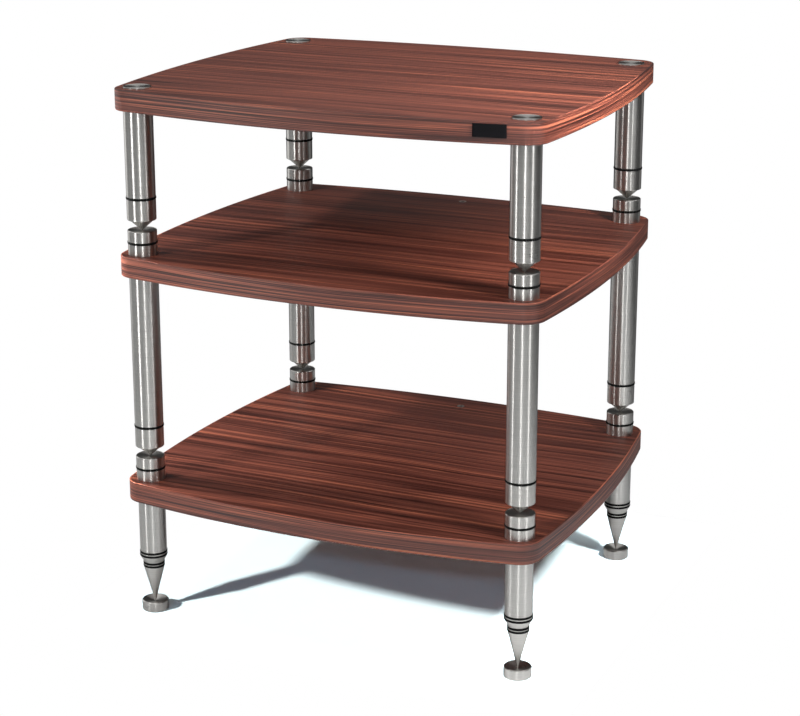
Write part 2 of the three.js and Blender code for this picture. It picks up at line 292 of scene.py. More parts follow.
def veneer(name, source, length, width, stops, contrast, shine):
    material, tree, shader = new_finish(name)
    wander = noise(tree, read_place(tree, source, WANDER_STRETCH), detail=1.0)
    place = read_place(tree, source)
    drift = calculate(tree, "MULTIPLY", calculate(tree, "SUBTRACT", wander, 0.5), WANDER * width)
    sideways = tree.nodes.new("ShaderNodeCombineXYZ")
    tree.links.new(drift, sideways.inputs["Y"])
    shifted = tree.nodes.new("ShaderNodeVectorMath")
    shifted.operation = "ADD"
    tree.links.new(place, shifted.inputs[0])
    tree.links.new(sideways.outputs["Vector"], shifted.inputs[1])

    def streaks(long, wide, detail):
        mapping = tree.nodes.new("ShaderNodeMapping")
        mapping.inputs["Scale"].default_value = (1 / (long * length), 1 / (wide * width), 1 / (wide * width))
        tree.links.new(shifted.outputs["Vector"], mapping.inputs["Vector"])
        return noise(tree, mapping.outputs["Vector"], detail=detail)

    layers = [streaks(*streak) for streak in STREAKS]
    pores = layers[-1]
    rings = streaks(*RING_STREAK)
    figure = 0.5
    for layer, weight in zip(layers, STREAK_WEIGHTS):
        share = calculate(tree, "MULTIPLY", calculate(tree, "SUBTRACT", layer, 0.5), weight * contrast)
        figure = calculate(tree, "ADD", share, figure)
    for level, line_width, strength in GROWTH_LINES:
        figure = calculate(tree, "ADD", figure, growth_line(tree, rings, level, line_width, strength))
    tree.links.new(ramp(tree, figure, stops), shader.inputs["Base Color"])
    tree.links.new(ramp(tree, pores, PORE_ROUGHNESS), shader.inputs["Roughness"])
    shader.inputs["Specular IOR Level"].default_value = shine
    bump(tree, shader, pores, PORE_BUMP, PORE_DEPTH)
    print(name, "made")
    return material


# %% Veneer finishes
FACE_STOPS = (
    (0.27, srgb(36, 14, 10)),
    (0.39, srgb(68, 31, 23)),
    (0.50, srgb(96, 52, 42)),
    (0.60, srgb(122, 67, 53)),
    (0.74, srgb(166, 96, 70)),
)
# painted light: the edge bands are the same veneer, and their colours are the face's made lighter only to
# stand in for the brighter light that falls on the upright edges
EDGE_PAINTED_LIGHT = 1.45
EDGE_STOPS_PAINTED_LIGHTER = tuple((position, tuple(min(1, c * EDGE_PAINTED_LIGHT) for c in colour))
                   for position, colour in FACE_STOPS)
face_veneer = veneer("rosewood_face", "Object", length=1.0, width=1.0, stops=FACE_STOPS, contrast=1.0,
                     shine=0.45)
edge_veneer = veneer("rosewood_edge", "UV", length=0.6, width=0.33, stops=EDGE_STOPS_PAINTED_LIGHTER, contrast=1.6,
                     shine=0.9)

# %% [markdown]
# ## Turned stainless steel
# The steel is turned and then brushed on the lathe. Its scratches run round the piece,
# so a light is drawn out along the axis: this is what makes the upright stripes on the
# tubes, and the butterfly of light on a flat cap. The shader is anisotropic, with its
# tangent along the turned map. Fine noise read along the profile only gives the rings
# that the tool leaves.

# %% Steel finishes
PALE, DULL = 1.06, 0.9
WEAR = 0.06
MARKS_ROUND = 2.0
SMUDGE_SCALE = 22
ALONG_THE_AXIS = 0.25
MARK_BUMP = 0.15


def turned_steel(name, colour, roughness, anisotropy, mark_size, mark_depth):
    material, tree, shader = new_finish(name)
    marks = noise(tree, read_place(tree, "UV", (MARKS_ROUND, 1 / mark_size, 1)), detail=3.0, roughness=0.6)
    smudges = noise(tree, read_place(tree, "Object"), scale=SMUDGE_SCALE, detail=2.0)
    pale = tuple(min(1, c * PALE) for c in colour)
    dull = tuple(c * DULL for c in colour)
    tree.links.new(ramp(tree, marks, ((NOISE_LOW, dull), (NOISE_HIGH, pale))), shader.inputs["Base Color"])
    marked = calculate(tree, "MULTIPLY", marks, WEAR)
    worn = calculate(tree, "ADD", marked, calculate(tree, "MULTIPLY", smudges, WEAR))
    tree.links.new(calculate(tree, "ADD", worn, roughness - WEAR), shader.inputs["Roughness"])
    shader.inputs["Metallic"].default_value = 1
    if anisotropy:
        tangent = tree.nodes.new("ShaderNodeTangent")
        tangent.direction_type = "UV_MAP"
        tangent.uv_map = "turned"
        tree.links.new(tangent.outputs["Tangent"], shader.inputs["Tangent"])
        shader.inputs["Anisotropic"].default_value = anisotropy
        shader.inputs["Anisotropic Rotation"].default_value = ALONG_THE_AXIS
    bump(tree, shader, marks, MARK_BUMP, mark_depth)
    print(name, "made")
    return material


tube_steel = turned_steel("brushed_tube_steel", (0.64, 0.63, 0.605), roughness=0.31, anisotropy=0.95,
                          mark_size=0.0009, mark_depth=0.00002)
collar_steel = turned_steel("turned_collar_steel", (0.66, 0.645, 0.615), roughness=0.29, anisotropy=0.93,
                            mark_size=0.0006, mark_depth=0.00004)

# %% [markdown]
# ## Rubber, plate and insert
# The rings are plain black rubber with a faint bloom. The badge plate is bare black,
# slightly satin, with a very fine grain. The inserts are small turned steel bushes.

# %% Small finishes
DARK_SHINE = 0.12
DARK_SPREAD = 0.08
DARK_BUMP = 0.2
BLOOM_FROM, BLOOM_TO = 0.35, 0.75
BLOOM_GAIN, BLOOM_LIFT = 2, 0.002


def dark_finish(name, colour, roughness, grain, depth):
    material, tree, shader = new_finish(name)
    specks = noise(tree, read_place(tree, "Object"), scale=grain, detail=3.0)
    bloom = tuple(c * BLOOM_GAIN + BLOOM_LIFT for c in colour)
    tree.links.new(ramp(tree, specks, ((BLOOM_FROM, colour), (BLOOM_TO, bloom))), shader.inputs["Base Color"])
    rough = ramp(tree, specks, ((NOISE_LOW, roughness - DARK_SPREAD), (NOISE_HIGH, roughness + DARK_SPREAD)))
    tree.links.new(rough, shader.inputs["Roughness"])
    shader.inputs["Specular IOR Level"].default_value = DARK_SHINE
    bump(tree, shader, specks, DARK_BUMP, depth)
    print(name, "made")
    return material


black_rubber = dark_finish("black_rubber", (0.006, 0.006, 0.006), roughness=0.6, grain=900, depth=0.00005)
black_plate = dark_finish("black_plate", (0.004, 0.004, 0.005), roughness=0.42, grain=2500, depth=0.00001)
insert_steel = turned_steel("insert_steel", (0.36, 0.35, 0.33), roughness=0.4, anisotropy=0,
                            mark_size=0.0004, mark_depth=0.00003)

# %% [markdown]
# ## The shelf outline
# Each side of a board is one shallow arc, and a round corner joins each pair of arcs.
# A single point is spun about the centre of the front bow, then about the corner's
# centre, and so on round to the middle of the back. The half outline is mirrored. An
# outline further in keeps the same centres and takes shorter radii.

# %% Outline of a shelf
SHELF_WIDTH, SHELF_DEPTH = 0.670, 0.600
CORNER_RADIUS = 0.033
BAND_THICKNESS = 0.002
FRONT_RADIUS, REAR_RADIUS, SIDE_RADIUS = 1.620, 2.600, 1.950
WIDEST_PLACE = -0.055
FRONT_BOW = (Vector((0, -SHELF_DEPTH / 2 + FRONT_RADIUS, 0)), FRONT_RADIUS)
REAR_BOW = (Vector((0, SHELF_DEPTH / 2 - REAR_RADIUS, 0)), REAR_RADIUS)
SIDE_BOW = (Vector((SHELF_WIDTH / 2 - SIDE_RADIUS, WIDEST_PLACE, 0)), SIDE_RADIUS)
BOW_STEPS, CORNER_STEPS, SIDE_STEPS = 22, 14, 32


def corner_centre(bow, side):
    reach_a, reach_b = bow[1] - CORNER_RADIUS, side[1] - CORNER_RADIUS
    across = side[0] - bow[0]
    along = (across.length_squared + reach_a ** 2 - reach_b ** 2) / (2 * across.length)
    off = math.sqrt(reach_a ** 2 - along ** 2)
    unit = across.normalized()
    square = Vector((-unit.y, unit.x, 0))
    return max((bow[0] + unit * along + square * off * sign for sign in (1, -1)), key=lambda point: point.x)


front_corner = corner_centre(FRONT_BOW, SIDE_BOW)
rear_corner = corner_centre(REAR_BOW, SIDE_BOW)


def heading(centre, point):
    return math.atan2(point.y - centre.y, point.x - centre.x)


front_end, side_start = heading(FRONT_BOW[0], front_corner), heading(SIDE_BOW[0], front_corner)
side_end, rear_start = heading(SIDE_BOW[0], rear_corner), heading(REAR_BOW[0], rear_corner)
HALF_OUTLINE = (
    (FRONT_BOW[0], front_end + math.pi / 2, BOW_STEPS),
    (front_corner, side_start - front_end, CORNER_STEPS),
    (SIDE_BOW[0], side_end - side_start, SIDE_STEPS),
    (rear_corner, rear_start - side_end, CORNER_STEPS),
    (REAR_BOW[0], math.pi / 2 - rear_start, BOW_STEPS),
)
print("corner centres", [round(v, 4) for v in (*front_corner.xy, *rear_corner.xy)])


def outline(bm, inset, height):
    """The closed loop of edges of a shelf outline that lies inset inside the shelf's edge."""
    before = set(bm.edges)
    end = bm.verts.new((0, -SHELF_DEPTH / 2 + inset, height))
    for centre, angle, steps in HALF_OUTLINE:
        turn = bmesh.ops.spin(bm, geom=[end], cent=(centre.x, centre.y, height), axis=(0, 0, 1),
                              angle=angle, steps=steps, use_merge=False)
        end = next(item for item in turn["geom_last"] if isinstance(item, bmesh.types.BMVert))
    half = [edge for edge in bm.edges if edge not in before]
    points = list({vert for edge in half for vert in edge.verts})
    bmesh.ops.mirror(bm, geom=points + half, matrix=Matrix.Identity(4), merge_dist=MERGE_DISTANCE, axis="X")
    return [edge for edge in bm.edges if edge not in before]


# %% [markdown]
# ## The boards
# A board is a flat slab, so its faces are filled between the outline and the holes for
# the studs, and the walls are bridged from one face to the other. The two lower boards
# also have a blind pocket for a threaded insert near the back.

# %% Veneered boards
STUD_HOLE = 0.0055
POCKET_RADIUS, POCKET_DEPTH = 0.0048, 0.0143
INSERT_Y = 0.260
HOLE_STEPS = 32


def new_points(geom):
    return [item for item in geom if isinstance(item, bmesh.types.BMVert)]


def hole(bm, x, y, radius, height):
    made = bmesh.ops.create_circle(bm, cap_ends=False, radius=radius, segments=HOLE_STEPS,
                                   matrix=Matrix.Translation((x, y, height)))
    return list({edge for vert in made["verts"] for edge in vert.link_edges})


def board(name, node, body, with_pocket):
    low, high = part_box(node)
    bm = bmesh.new()
    levels = []
    for height in (low.z, high.z):
        loops = [outline(bm, BAND_THICKNESS, height)]
        loops += [hole(bm, x, y, STUD_HOLE, height) for x, y in axes.values()]
        levels.append(loops)
    pocket = hole(bm, 0, INSERT_Y, POCKET_RADIUS, high.z) if with_pocket else []
    for loops, extra, facing in ((levels[0], [], -1), (levels[1], pocket, 1)):
        rims = [edge for loop in loops for edge in loop] + extra
        bmesh.ops.triangle_fill(bm, use_beauty=True, use_dissolve=False, edges=rims, normal=(0, 0, facing))
    for lower, upper in zip(*levels):
        bmesh.ops.bridge_loops(bm, edges=lower + upper)
    if pocket:
        sunk = bmesh.ops.extrude_edge_only(bm, edges=pocket)["geom"]
        bmesh.ops.translate(bm, verts=new_points(sunk), vec=(0, 0, -POCKET_DEPTH))
        bmesh.ops.contextual_create(bm, geom=[e for e in sunk if isinstance(e, bmesh.types.BMEdge)])
    bmesh.ops.recalc_face_normals(bm, faces=bm.faces)
    open_edges = sum(len(edge.link_faces) != 2 for edge in bm.edges)
    print(name, len(bm.faces), "faces,", open_edges, "open edges")
    piece = finish_mesh(name, bm, body, face_veneer)
    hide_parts(node)


TIERS = ("top", "middle", "bottom")
UPPER_TIERS, LOWER_TIERS = TIERS[:2], TIERS[1:]
for tier in TIERS:
    board(tier + "_board", tier + "_shelf", tier + "_tier", with_pocket=tier in LOWER_TIERS)

# %% [markdown]
# ## The edge bands
# A strip of the same veneer is glued round each board, with its grain along the edge
# and its joint at the back. Its two outer corners are sanded round, which catches the
# light as a thin line. The map measures the way round the shelf, so the streaks follow
# the curve.

# %% Edge bands
ARRIS, ARRIS_STEPS = 0.0013, 4
BAND_CRISP_ANGLE = 30
NEARLY_UPRIGHT = 0.1

outline_mesh = bmesh.new()
outline(outline_mesh, 0, 0)
right_half = sorted((math.atan2(max(v.co.x, 0), -v.co.y), v.co.copy())
                    for v in outline_mesh.verts if v.co.x > -MERGE_DISTANCE)
outline_mesh.free()
ways = [0.0]
for (_, one), (_, two) in zip(right_half, right_half[1:]):
    ways.append(ways[-1] + (two - one).length)
print("way round the shelf", round(2 * ways[-1], 3), "m")


def way_round(x, y, side):
    """The distance along the edge from the front middle, positive to the right."""
    turn = math.atan2(abs(x), -y)
    last = len(ways) - 1
    place = next((i for i in range(1, last) if right_half[i][0] >= turn), last)
    start, end = right_half[place - 1][0], right_half[place][0]
    share = (turn - start) / (end - start) if end > start else 0
    return math.copysign(ways[place - 1] + (ways[place] - ways[place - 1]) * share, side)


def lay_edge_map(bm):
    layer = bm.loops.layers.uv.new("along_edge")
    for face in bm.faces:
        side = face.calc_center_median().x
        for loop in face.loops:
            at = loop.vert.co
            loop[layer].uv = (way_round(at.x, at.y, side), at.z)


def faces_out(face):
    middle = face.calc_center_median()
    return abs(face.normal.z) < NEARLY_UPRIGHT and face.normal.x * middle.x + face.normal.y * middle.y > 0


def edge_band(name, node, body):
    low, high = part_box(node)
    bm = bmesh.new()
    rims = outline(bm, 0, low.z) + outline(bm, BAND_THICKNESS, low.z)
    strip = bmesh.ops.bridge_loops(bm, edges=rims)["faces"]
    grown = bmesh.ops.extrude_face_region(bm, geom=strip)["geom"]
    bmesh.ops.translate(bm, verts=new_points(grown), vec=(0, 0, high.z - low.z))
    bmesh.ops.recalc_face_normals(bm, faces=bm.faces)
    corners = [edge for edge in bm.edges if is_rim(edge) and any(faces_out(face) for face in edge.link_faces)]
    bmesh.ops.bevel(bm, geom=corners, offset=ARRIS, segments=ARRIS_STEPS, affect="EDGES",
                    profile=0.5, material=-1)
    lay_edge_map(bm)
    print(name, len(corners), "rounded edges,", len(bm.faces), "faces")
    piece = finish_mesh(name, bm, body, edge_veneer, crisp=BAND_CRISP_ANGLE)
    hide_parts(node)


for tier in TIERS:
    edge_band(tier + "_band", tier + "_shelf_edge_band", tier + "_tier")

# %% [markdown]
# ## Caps
# A flat turned disc closes each leg on the top shelf. Its face is dished by a hair and
# has a thin raised rim. Its stud runs down through the board into the tube.

# %% Caps
STUD_RADIUS, STUD_LENGTH = 5, 42
CAP_RADIUS, CAP_HEIGHT = 20, 2
STUD = ((0, -STUD_LENGTH), (STUD_RADIUS, -STUD_LENGTH), (STUD_RADIUS, 0))
CAP = (*STUD, (CAP_RADIUS, 0), (CAP_RADIUS, CAP_HEIGHT), (18.6, CAP_HEIGHT), (18.0, 1.7), (12, 1.5),
       (6, 1.4), (0, 1.4))


def stand_for(piece, node):
    """Hides the CAD node, so that the piece is seen in its place. The piece argument is not used."""
    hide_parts(node)


for leg in LEGS:
    _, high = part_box("cap_" + leg)
    base = high.z - CAP_HEIGHT * MM
    stand_for(turned("turned_cap_" + leg, CAP, leg, base, "top_tier", collar_steel), "cap_" + leg)
print(len(LEGS), "caps")

# %% [markdown]
# ## Tubes
# The tubes are thin-walled, with a bored plug in their upper end for the stud. Only the
# outside shows while the tiers stand together.

# %% Tubes
TUBE_RADIUS, TUBE_BORE, STUD_BORE = 21.2, 19.2, 5.3
TUBE_PLUG = 12


def tube_profile(length):
    plug_base = length - TUBE_PLUG
    return ((TUBE_RADIUS, 0), (TUBE_RADIUS, length), (STUD_BORE, length), (STUD_BORE, plug_base),
            (TUBE_BORE, plug_base), (TUBE_BORE, 0), (TUBE_RADIUS, 0))


for tier in UPPER_TIERS:
    for leg in LEGS:
        node = f"{tier}_tube_{leg}"
        low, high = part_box(node)
        profile = tube_profile((high.z - low.z) / MM)
        stand_for(turned(f"brushed_{tier}_tube_{leg}", profile, leg, low.z, tier + "_tier", tube_steel), node)
    print(tier, "tubes", round(high.z - low.z, 4), "m long")

# %% [markdown]
# ## Spike ends
# Below each tube a turned collar ends in a cone. Its spigot stands in the tube, and a
# rubber ring is squeezed between the two, so it bulges a little over their rims. The
# tip is blunt, since a needle point would not survive the seat.

# %% Spike ends and their rings
SPIKE_TOP = 48.8
SPIKE = ((0, -16.2), (0.8, -15.8), (18.3, 0), (20.5, 0), (TUBE_RADIUS, 0.7), (TUBE_RADIUS, 30.4),
         (20.4, 31.2), (18.9, 31.2), (18.9, 47.3), (17.4, SPIKE_TOP), (0, SPIKE_TOP))
TUBE_RING_DEPTH = 1.9
RING_STEPS, RING_CRISP_ANGLE = 72, 70


def ring(name, leg, radius, depth, middle, body):
    """A rubber ring in a groove. The steel's radius and the groove's depth are in millimetres, and the
    middle of the ring is a height in metres."""
    upper = ((radius, 1.25), (radius + 0.08, 1.62), (radius + 0.3, 1.74), (radius + 0.52, 1.5),
             (radius + 0.66, 0.9))
    lower = tuple((across, -up) for across, up in reversed(upper))
    section = ((radius - depth, -1.25), (radius - depth, 1.25), *upper, (radius + 0.7, 0), *lower)
    return turned(name, (*section, section[0]), leg, middle, body, black_rubber,
                  soften=0, steps=RING_STEPS, crisp=RING_CRISP_ANGLE)


for tier in UPPER_TIERS:
    for leg in LEGS:
        node = f"{tier}_spike_{leg}"
        _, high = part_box(node)
        collar_base = high.z - SPIKE_TOP * MM
        body = tier + "_tier"
        stand_for(turned(f"turned_{tier}_spike_{leg}", SPIKE, leg, collar_base, body, collar_steel), node)
        node = f"{tier}_spike_ring_{leg}"
        low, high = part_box(node)
        middle = (low.z + high.z) / 2
        stand_for(ring(f"rubber_{tier}_ring_{leg}", leg, TUBE_RADIUS, TUBE_RING_DEPTH, middle, body), node)
    print(tier, "spikes and rings")

# %% [markdown]
# ## Seats
# A seat is a short turned drum with a shallow dish for the spike above. Its rim is
# broken with a narrow chamfer, which shows as a bright line. A rubber ring lies in a
# groove half way up, a little proud of the steel. The ring is not a CAD node, so it rides
# on the seat's tier as a piece of its own.

# %% Seats
SEAT_HEIGHT, SEAT_RING_HEIGHT, SEAT_RING_DEPTH = 36, 18, 1.1
SEAT = (*STUD, (TUBE_RADIUS, 0), (TUBE_RADIUS, 16.0), (20.5, 16.7), (20.0, 16.7), (20.0, 19.3),
        (TUBE_RADIUS, 19.3), (TUBE_RADIUS, 35.1), (20.3, SEAT_HEIGHT), (19.7, SEAT_HEIGHT), (19.2, 35.6),
        (13, 35.2), (6, 34.7), (0, 34.2))

for tier in LOWER_TIERS:
    for leg in LEGS:
        node = f"{tier}_seat_{leg}"
        _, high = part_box(node)
        base = high.z - SEAT_HEIGHT * MM
        stand_for(turned(f"turned_{tier}_seat_{leg}", SEAT, leg, base, tier + "_tier", collar_steel), node)
        ring_middle = base + SEAT_RING_HEIGHT * MM
        ring(f"rubber_{tier}_seat_ring_{leg}", leg, TUBE_RADIUS, SEAT_RING_DEPTH, ring_middle, tier + "_tier")
    print(tier, "seats at", round(base, 4), "m")

# %% [markdown]
# ## Bottom legs, floor spikes and foot discs
# The bottom legs are solid bar. The floor spike screws into them for levelling: its
# head carries two rubber rings, a long chamfer leads down to a neck with two more,
# and a long cone stands in a loose dished disc. The thread is cut as plain grooves, a
# stand-in for the helix that only shows when a spike is screwed out.

# %% Bottom legs
LEG_RADIUS, LEG_LENGTH = 20, 81.7
SPIKE_BORE, SPIKE_BORE_DEPTH, STUD_BORE_DEPTH = 8.3, 40, 14
BOTTOM_LEG = ((0, SPIKE_BORE_DEPTH), (SPIKE_BORE, SPIKE_BORE_DEPTH), (SPIKE_BORE, 0),
              (LEG_RADIUS, 0), (LEG_RADIUS, LEG_LENGTH), (STUD_BORE, LEG_LENGTH),
              (STUD_BORE, LEG_LENGTH - STUD_BORE_DEPTH), (0, LEG_LENGTH - STUD_BORE_DEPTH))

for leg in LEGS:
    node = "bottom_leg_" + leg
    low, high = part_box(node)
    stand_for(turned("brushed_bottom_leg_" + leg, BOTTOM_LEG, leg, low.z, "bottom_tier", tube_steel,
                     soften=0.45), node)
print("bottom legs from", round(low.z, 4), "to", round(high.z, 4))

# %% Floor spikes
GROOVE_DEPTH, GROOVE_HALF = 1.0, 1.2
SPIKE_RING_DEPTH = 0.9
NECK_RADIUS, NECK_RINGS = 15.4, (60.2, 64.8)
HEAD_RADIUS, HEAD_RINGS = LEG_RADIUS, (78.0, 83.0)
HEAD_TOP, SHANK_TOP = 87.3, 125.3
SHANK_RADIUS, THREAD_DEPTH = 8, 0.8
THREAD_START, THREAD_HALF_PITCH, THREAD_POINTS = 88.0, 0.75, 47


def groove(radius, middle):
    floor_radius, low_side, high_side = radius - GROOVE_DEPTH, middle - GROOVE_HALF, middle + GROOVE_HALF
    return (radius, low_side), (floor_radius, low_side), (floor_radius, high_side), (radius, high_side)


THREAD = tuple((SHANK_RADIUS - THREAD_DEPTH * (step % 2), THREAD_START + THREAD_HALF_PITCH * step)
               for step in range(THREAD_POINTS))
FLOOR_SPIKE = (
    (0, 0.2), (0.7, 0.5), (NECK_RADIUS, 57),
    *groove(NECK_RADIUS, NECK_RINGS[0]), *groove(NECK_RADIUS, NECK_RINGS[1]), (NECK_RADIUS, 67.3),
    (HEAD_RADIUS, 75.4), *groove(HEAD_RADIUS, HEAD_RINGS[0]), *groove(HEAD_RADIUS, HEAD_RINGS[1]),
    (HEAD_RADIUS, HEAD_TOP), (SHANK_RADIUS, HEAD_TOP), *THREAD, (6, SHANK_TOP), (0, SHANK_TOP),
)

for leg in LEGS:
    node = "floor_spike_" + leg
    low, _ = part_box(node)
    body = "levelling_spike_" + leg
    stand_for(turned("turned_floor_spike_" + leg, FLOOR_SPIKE, leg, low.z, body, collar_steel,
                     soften=0.25), node)
    for part, radius, heights in (("neck", NECK_RADIUS, NECK_RINGS), ("head", HEAD_RADIUS, HEAD_RINGS)):
        for count, height in enumerate(heights, 1):
            middle = low.z + height * MM
            ring(f"rubber_{part}_ring_{count}_{leg}", leg, radius, SPIKE_RING_DEPTH, middle, body)
print("floor spikes", len(FLOOR_SPIKE), "points in the profile")

# %% Foot discs
FOOT_RADIUS, FOOT_HEIGHT = 20, 16
FOOT = ((0, 0), (18.8, 0), (FOOT_RADIUS, 1.2), (FOOT_RADIUS, 14.8), (18.8, FOOT_HEIGHT), (17.8, FOOT_HEIGHT),
        (14, 14.75), (9, 13.5), (4, 12.4), (0, 11.7))

for leg in LEGS:
    node = "foot_disc_" + leg
    low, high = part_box(node)
    stand_for(turned("turned_foot_disc_" + leg, FOOT, leg, low.z, "foot_" + leg, collar_steel,
                     soften=0.35), node)
print("foot discs", round(high.z - low.z, 4), "m high")

# %% [markdown]
# ## Badge plate and inserts
# The badge plate is a small bare strip on the front edge of the top board. It is bent to
# the front bow, so its section is spun about the bow's own centre. The inserts are
# flanged bushes in the pockets of the two lower boards.

# %% Badge plate
BADGE_HALF_WIDTH, BADGE_SIDE_INSET = 0.023, 0.078
BADGE_BACK, BADGE_FRONT = 0.0003, 0.0018
BADGE_STEPS, BADGE_CRISP_ANGLE = 12, 40
BADGE_ROUNDING, BADGE_ROUNDING_STEPS = 0.0004, 3

badge_half_angle = BADGE_HALF_WIDTH / FRONT_RADIUS
low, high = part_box("badge_plate")
badge_middle = math.asin((SHELF_WIDTH / 2 - BADGE_SIDE_INSET) / FRONT_RADIUS)
inner, outer = FRONT_RADIUS + BADGE_BACK, FRONT_RADIUS + BADGE_FRONT
bm = bmesh.new()
corners = [bm.verts.new((FRONT_BOW[0].x, FRONT_BOW[0].y - radius, height))
           for radius, height in ((inner, low.z), (outer, low.z), (outer, high.z), (inner, high.z))]
section = bmesh.ops.contextual_create(bm, geom=corners)["faces"]
geom = corners + list(bm.edges) + section
to_start = Matrix.Rotation(badge_middle - badge_half_angle, 3, "Z")
bmesh.ops.rotate(bm, verts=corners, cent=FRONT_BOW[0], matrix=to_start)
bmesh.ops.spin(bm, geom=geom, cent=FRONT_BOW[0], axis=(0, 0, 1), angle=2 * badge_half_angle,
               steps=BADGE_STEPS, use_merge=False)
bmesh.ops.recalc_face_normals(bm, faces=bm.faces)
rims = [edge for edge in bm.edges
        if len(edge.link_faces) == 2 and edge.calc_face_angle(0) > math.radians(BADGE_CRISP_ANGLE)]
bmesh.ops.bevel(bm, geom=rims, offset=BADGE_ROUNDING, segments=BADGE_ROUNDING_STEPS, affect="EDGES",
                profile=0.5, material=-1)
print("badge", len(bm.faces), "faces")
stand_for(finish_mesh("blank_badge", bm, "top_tier", black_plate,
                      crisp=BADGE_CRISP_ANGLE), "badge_plate")

# %% Inserts
FLANGE_HEIGHT = 0.8
INSERT = ((0, -14), (4.5, -14), (4.5, 0), (6, 0), (6, FLANGE_HEIGHT), (3.7, FLANGE_HEIGHT), (3, 0.1),
          (3, -10.2), (0, -10.2))

for tier in LOWER_TIERS:
    node = tier + "_shelf_insert"
    _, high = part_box(node)
    base = high.z - FLANGE_HEIGHT * MM
    stand_for(turned(tier + "_insert", INSERT, (0, INSERT_Y), base, tier + "_tier", insert_steel,
                     soften=0.15, steps=48), node)
print("inserts at", round(high.z, 4), "m")

# %% [markdown]
# ## The floor
# The rack stands in a pool of light on a pale floor. The middle of the pool lies to the
# front left, and further out the floor runs into the dark of the studio, so the steel
# mirrors both. To the camera the floor is exposed brighter, as in a product picture where
# only the deep part of a shadow is left, and away from the rack it fades to plain white.
# Reflections see a brighter floor too, close to the feet, where the lower legs mirror it.
# To everything else it is a darker floor, so less red light bounces off the boards into
# the shadow under them. A ramp reads from zero to one only, so each value is divided by
# one span first.

# %% Floor in reflections and for the bounce
RAMP_SPAN = 4
FLOOR_COLOUR = (0.78, 0.79, 0.80)
FLOOR_SHARE_FAR = 0.22
POOL_MIDDLE, POOL_FROM, POOL_TO = (-0.6, -0.9, 0), 1.52, 2.4
NEAR_GAIN, NEAR_FROM, NEAR_TO = 0.25, 0.4, 1.36
BOUNCE_COLOUR = (0.30, 0.31, 0.32)
FLOOR_ROUGHNESS, FLOOR_SHINE = 0.9, 0.1


def fade_over(tree, value, start, start_level, end, end_level):
    """A ramp between two values, each with its level."""
    span = calculate(tree, "DIVIDE", value, RAMP_SPAN)
    return ramp(tree, span, ((start / RAMP_SPAN, start_level), (end / RAMP_SPAN, end_level)))


floor_material, tree, shader = new_finish("pale_floor")
place = read_place(tree, "Object")
distance = tree.nodes.new("ShaderNodeVectorMath")
distance.operation = "DISTANCE"
distance.inputs[1].default_value = POOL_MIDDLE
tree.links.new(place, distance.inputs[0])
# painted light: the pool of light and the dark floor further out are painted into the colour that reflections
# see, not cast by a lamp
far_colour = tuple(c * FLOOR_SHARE_FAR for c in FLOOR_COLOUR)
pool = fade_over(tree, distance.outputs["Value"], POOL_FROM, FLOOR_COLOUR, POOL_TO, far_colour)
shader.inputs["Base Color"].default_value = (*BOUNCE_COLOUR, 1)
shader.inputs["Roughness"].default_value = FLOOR_ROUGHNESS
shader.inputs["Specular IOR Level"].default_value = FLOOR_SHINE
from_rack = tree.nodes.new("ShaderNodeVectorMath")
from_rack.operation = "LENGTH"
tree.links.new(place, from_rack.inputs[0])
# painted light: the floor that reflections see is painted brighter close to the rack, where the lower legs
# mirror it
extra = fade_over(tree, from_rack.outputs["Value"], NEAR_FROM, NEAR_GAIN, NEAR_TO, 0.0)
brighter = tree.nodes.new("ShaderNodeVectorMath")
brighter.operation = "MULTIPLY_ADD"
for socket, colour in zip(brighter.inputs, (pool, extra, pool)):
    tree.links.new(colour, socket)
mirrored = tree.nodes.new("ShaderNodeBsdfDiffuse")
tree.links.new(brighter.outputs["Vector"], mirrored.inputs["Color"])
print("floor pool from", POOL_FROM, "to", POOL_TO, "m")

# %% Floor to the camera
EXPOSED_COLOUR = (3.0, 3.65, 3.8)
SHADOW_MIDDLE, SHADOW_REACH = (0.0, 0.04, 0), (0.335, 0.33)
# in shares of the shadow's reach
FADE_FROM, FADE_TO = 1.0, 1.2
exposed = tree.nodes.new("ShaderNodeBsdfDiffuse")
exposed.inputs["Color"].default_value = (*EXPOSED_COLOUR, 1)
white = tree.nodes.new("ShaderNodeEmission")
offset = tree.nodes.new("ShaderNodeVectorMath")
offset.operation = "SUBTRACT"
offset.inputs[1].default_value = SHADOW_MIDDLE
tree.links.new(place, offset.inputs[0])
parts = tree.nodes.new("ShaderNodeSeparateXYZ")
tree.links.new(offset.outputs["Vector"], parts.inputs["Vector"])
away = [calculate(tree, "DIVIDE", calculate(tree, "ABSOLUTE", parts.outputs[axis], 0), reach)
        for axis, reach in zip("XY", SHADOW_REACH)]
fade = fade_over(tree, calculate(tree, "MAXIMUM", *away), FADE_FROM, 0.0, FADE_TO, 1.0)
seen = tree.nodes.new("ShaderNodeLightPath")


def mix(tree, share, one, two):
    node = tree.nodes.new("ShaderNodeMixShader")
    for socket, value in zip(node.inputs, (share, one, two)):
        tree.links.new(value, socket)
    return node.outputs["Shader"]


swept = mix(tree, fade, exposed.outputs["BSDF"], white.outputs["Emission"])
unseen = mix(tree, seen.outputs["Is Glossy Ray"], shader.outputs["BSDF"], mirrored.outputs["BSDF"])
floor_surface = mix(tree, seen.outputs["Is Camera Ray"], unseen, swept)
tree.links.new(floor_surface, tree.nodes["Material Output"].inputs["Surface"])
print("floor fades out at", [round(reach * FADE_TO, 3) for reach in SHADOW_REACH], "m")

# %% Floor
FLOOR_SIZE = 40


def stage_mesh(name, bm, material):
    mesh = bpy.data.meshes.new(name)
    bm.to_mesh(mesh)
    bm.free()
    mesh.materials.append(material)
    prop = bpy.data.objects.new(name, mesh)
    bpy.context.scene.collection.objects.link(prop)
    return prop


bm = bmesh.new()
bmesh.ops.create_grid(bm, x_segments=1, y_segments=1, size=FLOOR_SIZE)
floor = stage_mesh("floor", bm, floor_material)
print("floor laid")

